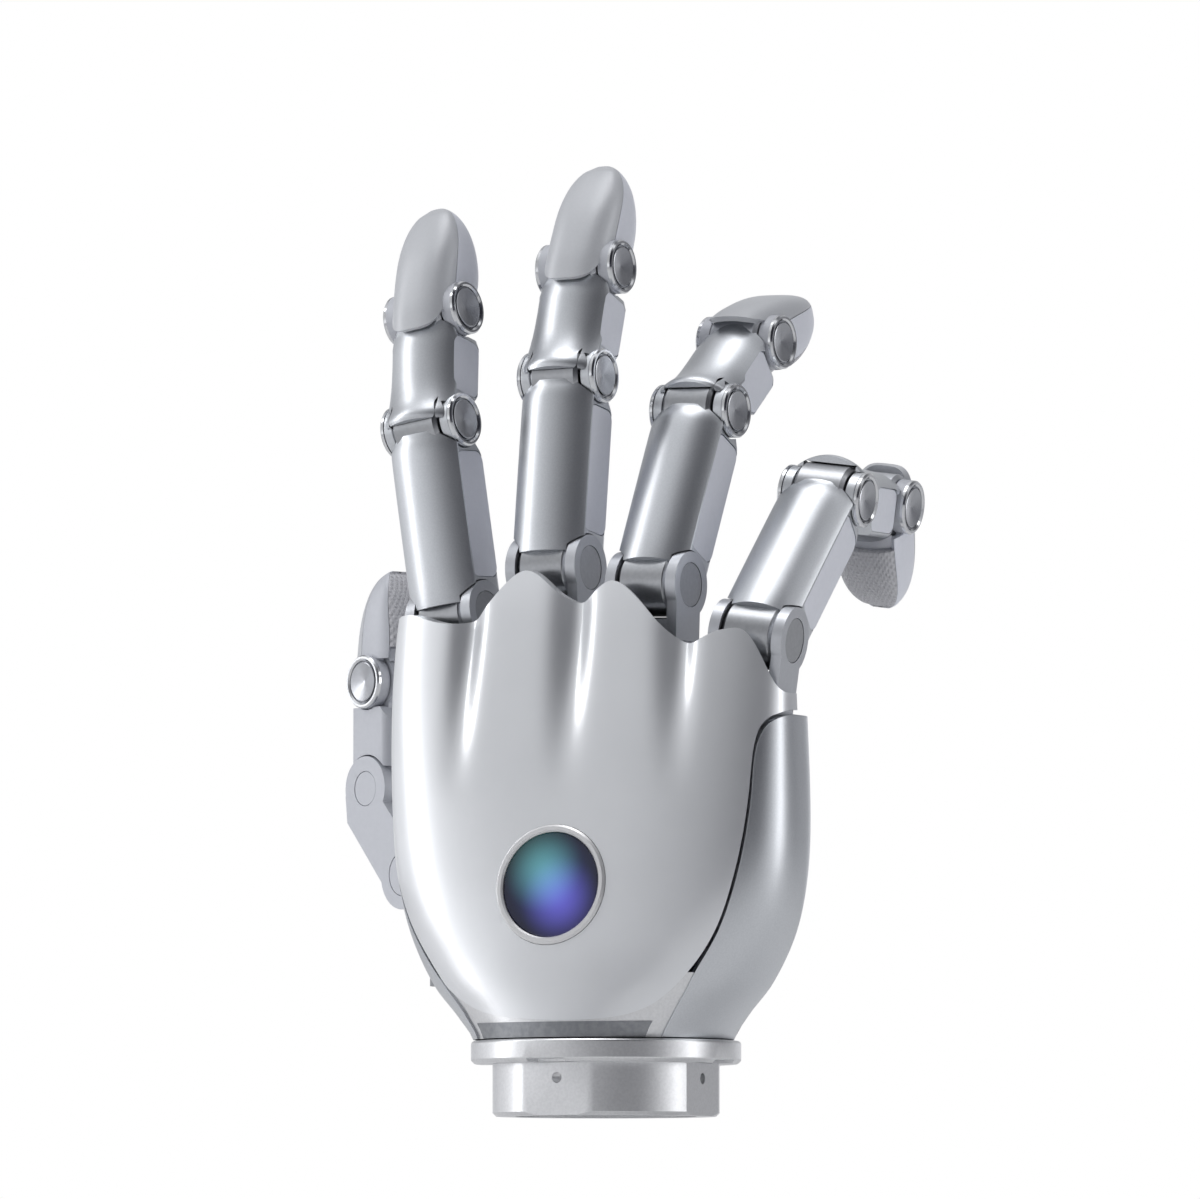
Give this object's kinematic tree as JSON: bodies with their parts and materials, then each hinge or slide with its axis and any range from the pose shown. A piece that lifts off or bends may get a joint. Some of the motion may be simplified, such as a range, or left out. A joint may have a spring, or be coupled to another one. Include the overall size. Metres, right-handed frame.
{
  "type": "dexterous robot hand",
  "caption": "Right robot hand with hinged fingers and thumb, spreading knuckles, shell palm with a round display and a flanged wrist.",
  "frame": {"origin": "centre of the wrist spigot's end face", "axes": "+Z along the hand towards the fingertips, +Y out of the palm, +X towards the little finger"},
  "size_m": [0.1316, 0.0969, 0.2153],
  "materials": {
    "cover_gloss": "glossy pearl silver-white lacquer",
    "finger_silver": "satin silver metallic paint",
    "panel_grey": "matte pale lavender-grey",
    "bracket_metal": "satin silver-grey",
    "axle_steel": "fine turned",
    "joint_chrome": "polished ring and brushed disc",
    "nail_plastic": "light grey satin",
    "pad_silicone": "soft pale grey, knurled",
    "frame_metal": "bead blasted",
    "wrist_aluminium": "turned and bead blasted",
    "palm_plastic": "satin silver-grey",
    "bezel_plastic": "satin white",
    "display_glass": "dark glass with a soft blue glow",
    "motor_metal": "dark satin",
    "board_plastic": "solder mask"
  },
  "bodies": {
    "palm": {"palm_frame": "frame_metal", "wrist_spigot": "wrist_aluminium", "wrist_flange": "wrist_aluminium", "dorsal_cover": "cover_gloss", "ulnar_cover": "finger_silver", "radial_cover": "finger_silver", "palm_cover": "palm_plastic", "display_bezel": "bezel_plastic", "display_screen": "display_glass", "spread_motors": "motor_metal", "control_board": "board_plastic"},
    "index_knuckle": {"index_knuckle_bracket": "bracket_metal", "index_knuckle_axle": "axle_steel"},
    "index_proximal": {"index_proximal_shell": "finger_silver", "index_proximal_panels": "panel_grey"},
    "index_middle": {"index_middle_shell": "finger_silver", "index_middle_axle": "joint_chrome"},
    "index_tip": {"index_tip_core": "bracket_metal", "index_nail_cover": "nail_plastic", "index_tip_pad": "pad_silicone", "index_tip_axle": "joint_chrome"},
    "middle_knuckle": {"middle_knuckle_bracket": "bracket_metal", "middle_knuckle_axle": "axle_steel"},
    "middle_proximal": {"middle_proximal_shell": "finger_silver", "middle_proximal_panels": "panel_grey"},
    "middle_middle": {"middle_middle_shell": "finger_silver", "middle_middle_axle": "joint_chrome"},
    "middle_tip": {"middle_tip_core": "bracket_metal", "middle_nail_cover": "nail_plastic", "middle_tip_pad": "pad_silicone", "middle_tip_axle": "joint_chrome"},
    "ring_knuckle": {"ring_knuckle_bracket": "bracket_metal", "ring_knuckle_axle": "axle_steel"},
    "ring_proximal": {"ring_proximal_shell": "finger_silver", "ring_proximal_panels": "panel_grey"},
    "ring_middle": {"ring_middle_shell": "finger_silver", "ring_middle_axle": "joint_chrome"},
    "ring_tip": {"ring_tip_core": "bracket_metal", "ring_nail_cover": "nail_plastic", "ring_tip_pad": "pad_silicone", "ring_tip_axle": "joint_chrome"},
    "little_knuckle": {"little_knuckle_bracket": "bracket_metal", "little_knuckle_axle": "axle_steel"},
    "little_proximal": {"little_proximal_shell": "finger_silver", "little_proximal_panels": "panel_grey"},
    "little_middle": {"little_middle_shell": "finger_silver", "little_middle_axle": "joint_chrome"},
    "little_tip": {"little_tip_core": "bracket_metal", "little_nail_cover": "nail_plastic", "little_tip_pad": "pad_silicone", "little_tip_axle": "joint_chrome"},
    "thumb_base": {"thumb_turntable": "bracket_metal"},
    "thumb_root": {"thumb_metacarpal": "panel_grey", "thumb_root_axle": "axle_steel", "thumb_knuckle_axle": "axle_steel"},
    "thumb_link": {"thumb_link_shell": "panel_grey"},
    "thumb_tip": {"thumb_tip_core": "bracket_metal", "thumb_nail_cover": "nail_plastic", "thumb_tip_pad": "pad_silicone", "thumb_tip_axle": "joint_chrome"}
  },
  "joints": [
    {"name": "index_spread", "type": "hinge", "parent": "palm", "child": "index_knuckle", "pos_m": [-0.0363, 0.0009, 0.0961], "axis": [0.1219, 0.9925, 0], "range_deg": [-5.5, 3.5]},
    {"name": "index_knuckle_bend", "type": "hinge", "parent": "index_knuckle", "child": "index_proximal", "pos_m": [-0.03837, 0.00115, 0.11196], "axis": [-0.9841, 0.1208, -0.1305], "range_deg": [-2.5, 82.5]},
    {"name": "index_middle_bend", "type": "hinge", "parent": "index_proximal", "child": "index_middle", "pos_m": [-0.0443, -0.00005, 0.15554], "axis": [-0.9841, 0.1208, -0.1305], "range_deg": [-15, 80]},
    {"name": "index_tip_bend", "type": "hinge", "parent": "index_middle", "child": "index_tip", "pos_m": [-0.04698, 0.00612, 0.18149], "axis": [-0.9841, 0.1208, -0.1305], "range_deg": [0, 65]},
    {"name": "middle_spread", "type": "hinge", "parent": "palm", "child": "middle_knuckle", "pos_m": [-0.0121, -0.0006, 0.1061], "axis": [0.0384, 0.9993, 0], "range_deg": [-4.4, 2.6]},
    {"name": "middle_knuckle_bend", "type": "hinge", "parent": "middle_knuckle", "child": "middle_proximal", "pos_m": [-0.01227, -0.00059, 0.1221], "axis": [-0.9992, 0.0384, -0.0105], "range_deg": [-13, 72]},
    {"name": "middle_middle_bend", "type": "hinge", "parent": "middle_proximal", "child": "middle_middle", "pos_m": [-0.01249, 0.00554, 0.16567], "axis": [-0.9992, 0.0384, -0.0105], "range_deg": [-11, 84]},
    {"name": "middle_tip_bend", "type": "hinge", "parent": "middle_middle", "child": "middle_tip", "pos_m": [-0.01242, 0.01427, 0.19101], "axis": [-0.9992, 0.0384, -0.0105], "range_deg": [0, 65]},
    {"name": "ring_spread", "type": "hinge", "parent": "palm", "child": "ring_knuckle", "pos_m": [0.0121, -0.0003, 0.1018], "axis": [0.0471, 0.9989, 0], "range_deg": [-5.8, 6.2]},
    {"name": "ring_knuckle_bend", "type": "hinge", "parent": "ring_knuckle", "child": "ring_proximal", "pos_m": [0.0126, -0.00032, 0.11779], "axis": [-0.9984, 0.0471, 0.0314], "range_deg": [-29, 56]},
    {"name": "ring_middle_bend", "type": "hinge", "parent": "ring_proximal", "child": "ring_middle", "pos_m": [0.01471, 0.01749, 0.15797], "axis": [-0.9984, 0.0471, 0.0314], "range_deg": [-26, 69]},
    {"name": "ring_tip_bend", "type": "hinge", "parent": "ring_middle", "child": "ring_tip", "pos_m": [0.01621, 0.03798, 0.17519], "axis": [-0.9984, 0.0471, 0.0314], "range_deg": [-14, 51]},
    {"name": "little_spread", "type": "hinge", "parent": "palm", "child": "little_knuckle", "pos_m": [0.0363, -0.0019, 0.0896], "axis": [-0.0454, 0.999, 0], "range_deg": [-8, 5]},
    {"name": "little_knuckle_bend", "type": "hinge", "parent": "little_knuckle", "child": "little_proximal", "pos_m": [0.03852, -0.0018, 0.10544], "axis": [-0.9892, -0.0449, 0.1392], "range_deg": [-45.5, 39.5]},
    {"name": "little_middle_bend", "type": "hinge", "parent": "little_proximal", "child": "little_middle", "pos_m": [0.04188, 0.02696, 0.13858], "axis": [-0.9892, -0.0449, 0.1392], "range_deg": [-48.5, 46.5]},
    {"name": "little_tip_bend", "type": "hinge", "parent": "little_middle", "child": "little_tip", "pos_m": [0.04073, 0.05373, 0.13904], "axis": [-0.9892, -0.0449, 0.1392], "range_deg": [-62, 3]},
    {"name": "thumb_swing", "type": "hinge", "parent": "palm", "child": "thumb_base", "pos_m": [-0.0409, 0.0165, 0.0556], "axis": [0, 0, 1], "range_deg": [-65, 15]},
    {"name": "thumb_root_lift", "type": "hinge", "parent": "thumb_base", "child": "thumb_root", "pos_m": [-0.05595, 0.02326, 0.0556], "axis": [-0.4099, -0.9121, 0], "range_deg": [-20, 25]},
    {"name": "thumb_knuckle_bend", "type": "hinge", "parent": "thumb_root", "child": "thumb_link", "pos_m": [-0.06872, 0.029, 0.0756], "axis": [0.4099, 0.9121, 0], "range_deg": [-10, 30]},
    {"name": "thumb_tip_bend", "type": "hinge", "parent": "thumb_link", "child": "thumb_tip", "pos_m": [-0.06872, 0.029, 0.1], "axis": [0.4099, 0.9121, 0], "range_deg": [0, 70]}
  ]
}
